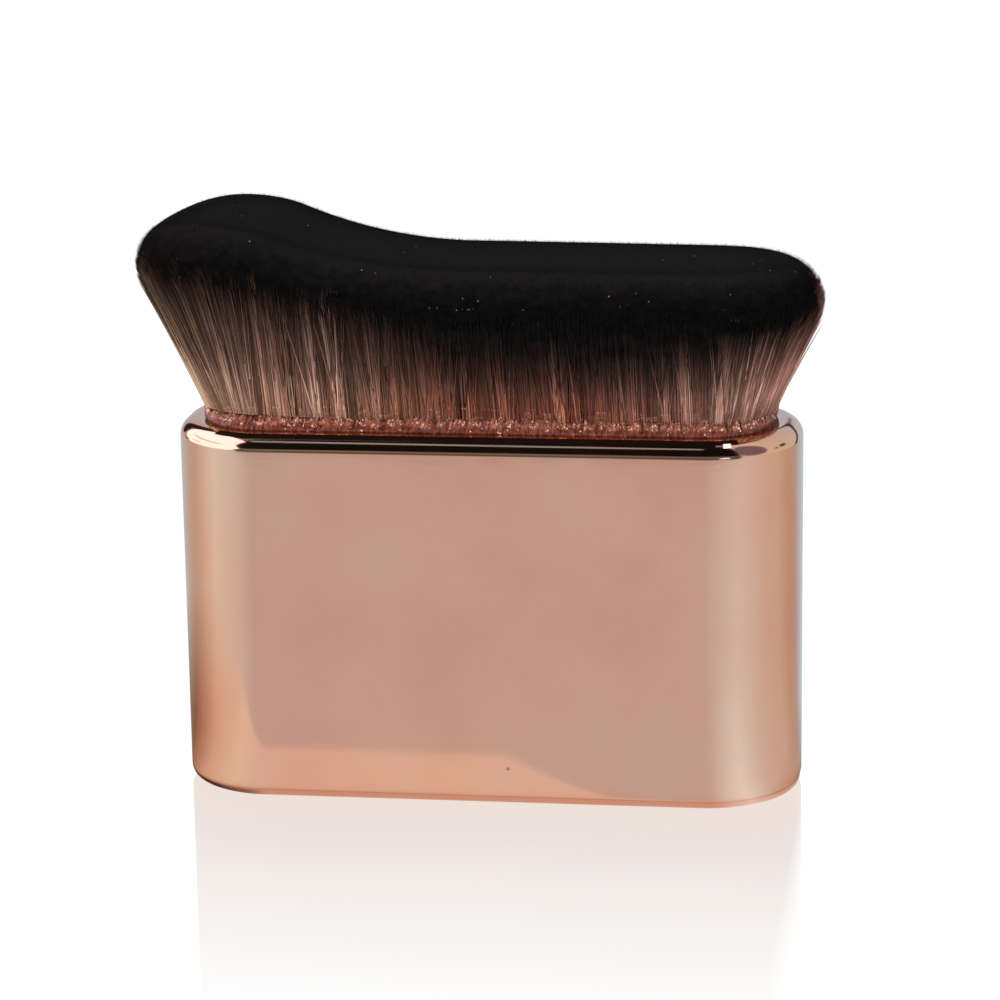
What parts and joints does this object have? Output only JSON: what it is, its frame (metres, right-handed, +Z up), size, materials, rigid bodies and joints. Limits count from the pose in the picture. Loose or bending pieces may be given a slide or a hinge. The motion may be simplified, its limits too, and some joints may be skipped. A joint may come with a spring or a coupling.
{
  "type": "kabuki makeup brush",
  "caption": "Flat kabuki body brush with a plated, round-ended moulded handle and a dense, flared, wave-topped head of soft two-tone hair.",
  "frame": {"origin": "middle of the handle's underside, in the plane that the brush stands on", "axes": "+X along the handle towards the low end of the hair, -Y is the front, +Z up through the hair"},
  "size_m": [0.0809, 0.035, 0.0699],
  "materials": {
    "plated_abs": "moulded ABS electroplated and lacquered in rose gold, mirror gloss",
    "cap_abs": "moulded black ABS, fine spark-eroded texture",
    "ballast_steel": "zinc-plated steel bar, tumbled edges",
    "foam_tape": "white closed-cell foam, adhesive both sides",
    "cup_nylon": "moulded natural nylon",
    "potting_epoxy": "cast amber epoxy",
    "hot_melt": "hot-melt adhesive bead",
    "collar_resin": "clear brown resin soaked into the roots of the hair, wet gloss",
    "nylon_hair": "fine tapered synthetic hair, beige-brown at the root and dyed black at the tip"
  },
  "bodies": {
    "root": {"handle_shell": "plated_abs", "base_cap": "cap_abs", "ballast_plate": "ballast_steel", "ballast_tape": "foam_tape", "hair_cup": "cup_nylon", "potting_resin": "potting_epoxy", "cup_bond": "hot_melt", "resin_collar": "collar_resin", "bristle_tuft": "nylon_hair"}
  },
  "joints": []
}
